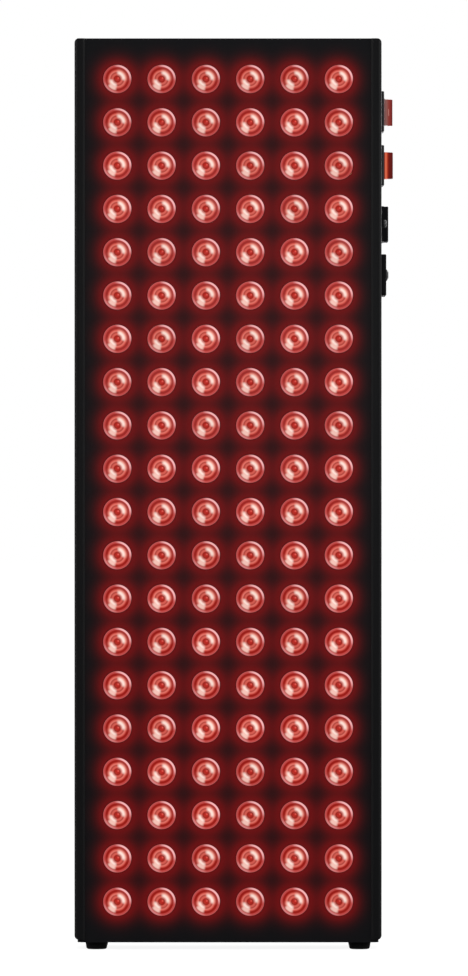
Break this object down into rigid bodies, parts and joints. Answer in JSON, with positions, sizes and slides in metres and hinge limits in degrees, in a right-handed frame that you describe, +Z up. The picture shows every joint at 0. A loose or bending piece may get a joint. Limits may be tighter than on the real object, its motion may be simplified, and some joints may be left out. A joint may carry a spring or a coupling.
{
  "type": "red light therapy panel",
  "caption": "Tall flat lamp panel on rubber feet, with a grid of round lenses, fans at the back, and rocker switches and mains sockets on one side.",
  "frame": {"origin": "on the floor under the middle of the case: midway between the side rails' outer walls and midway between the rails' front lips and the back sheet", "axes": "+X to the viewer's right when facing the lenses, which is the side with the switches and sockets; +Y to the back, away from the lenses; +Z up"},
  "size_m": [0.2183, 0.068, 0.623],
  "materials": {
    "case_paint": "fine satin powder coat, near black",
    "rail_paint": "satin black coat on extruded aluminium",
    "clear_lens": "polished clear acrylic, lit red from behind",
    "holder_plastic": "black moulded nylon",
    "board_mask": "black solder mask on an aluminium board",
    "emitter": "ceramic base with a clear dome",
    "sink_metal": "plain extruded aluminium",
    "screw_steel": "zinc-plated steel",
    "black_screw": "black oxide steel",
    "standoff_steel": "plated steel",
    "guard_wire": "bright plated steel wire",
    "fan_plastic": "black moulded plastic",
    "winding_copper": "enamelled copper windings on a laminated core",
    "driver_case": "white flame-retardant plastic, potted",
    "block_plastic": "ivory nylon",
    "black_plastic": "black moulded nylon",
    "rocker_red": "translucent red polycarbonate",
    "contact_brass": "plated brass",
    "foot_rubber": "black rubber",
    "insert_steel": "plated steel"
  },
  "bodies": {
    "panel": {"board_standoffs": "standoff_steel", "case_screws": "black_screw", "driver_screws": "screw_steel", "earth_stud": "contact_brass", "fan_frame_1": "fan_plastic", "fan_frame_2": "fan_plastic", "fan_frame_3": "fan_plastic", "fan_guard_1": "guard_wire", "fan_guard_2": "guard_wire", "fan_guard_3": "guard_wire", "fan_screws": "screw_steel", "fan_stators": "winding_copper", "foot_screws": "screw_steel", "front_plate": "case_paint", "hanging_inserts": "insert_steel", "heat_sink_1": "sink_metal", "heat_sink_2": "sink_metal", "heat_sink_screws": "screw_steel", "inlet_body": "black_plastic", "inlet_pins": "contact_brass", "inlet_screws": "black_screw", "led_board_1": "board_mask", "led_board_2": "board_mask", "led_board_3": "board_mask", "led_board_4": "board_mask", "led_driver_1": "driver_case", "led_driver_2": "driver_case", "led_driver_3": "driver_case", "led_driver_4": "driver_case", "led_emitters_1": "emitter", "led_emitters_2": "emitter", "led_emitters_3": "emitter", "led_emitters_4": "emitter", "left_side_rail": "rail_paint", "lens_holders_1": "holder_plastic", "lens_holders_2": "holder_plastic", "lens_holders_3": "holder_plastic", "lens_holders_4": "holder_plastic", "lenses_1": "clear_lens", "lenses_2": "clear_lens", "lenses_3": "clear_lens", "lenses_4": "clear_lens", "lower_switch_body": "black_plastic", "lower_switch_tabs": "contact_brass", "outlet_body": "black_plastic", "outlet_contacts": "contact_brass", "outlet_screws": "black_screw", "rear_cover": "case_paint", "right_side_rail": "rail_paint", "rubber_feet": "foot_rubber", "terminal_block": "block_plastic", "upper_switch_body": "black_plastic", "upper_switch_tabs": "contact_brass", "wall_bracket_inserts": "insert_steel"},
    "upper_rocker": {"upper_switch_rocker": "rocker_red"},
    "lower_rocker": {"lower_switch_rocker": "rocker_red"},
    "fan_rotor_low": {"fan_rotor_1": "fan_plastic"},
    "fan_rotor_middle": {"fan_rotor_2": "fan_plastic"},
    "fan_rotor_high": {"fan_rotor_3": "fan_plastic"}
  },
  "joints": [
    {"name": "upper_rocker_tilt", "type": "hinge", "parent": "panel", "child": "upper_rocker", "pos_m": [0.1025, 0.001, 0.5738], "axis": [0, 0, 1], "range_deg": [0, 32]},
    {"name": "lower_rocker_tilt", "type": "hinge", "parent": "panel", "child": "lower_rocker", "pos_m": [0.1025, 0.001, 0.5368], "axis": [0, 0, 1], "range_deg": [-32, 0]},
    {"name": "fan_low_spin", "type": "hinge", "parent": "panel", "child": "fan_rotor_low", "pos_m": [0, 0.0183, 0.119], "axis": [0, 1, 0], "continuous": true},
    {"name": "fan_middle_spin", "type": "hinge", "parent": "panel", "child": "fan_rotor_middle", "pos_m": [0, 0.0183, 0.314], "axis": [0, 1, 0], "continuous": true},
    {"name": "fan_high_spin", "type": "hinge", "parent": "panel", "child": "fan_rotor_high", "pos_m": [0, 0.0183, 0.509], "axis": [0, 1, 0], "continuous": true}
  ]
}
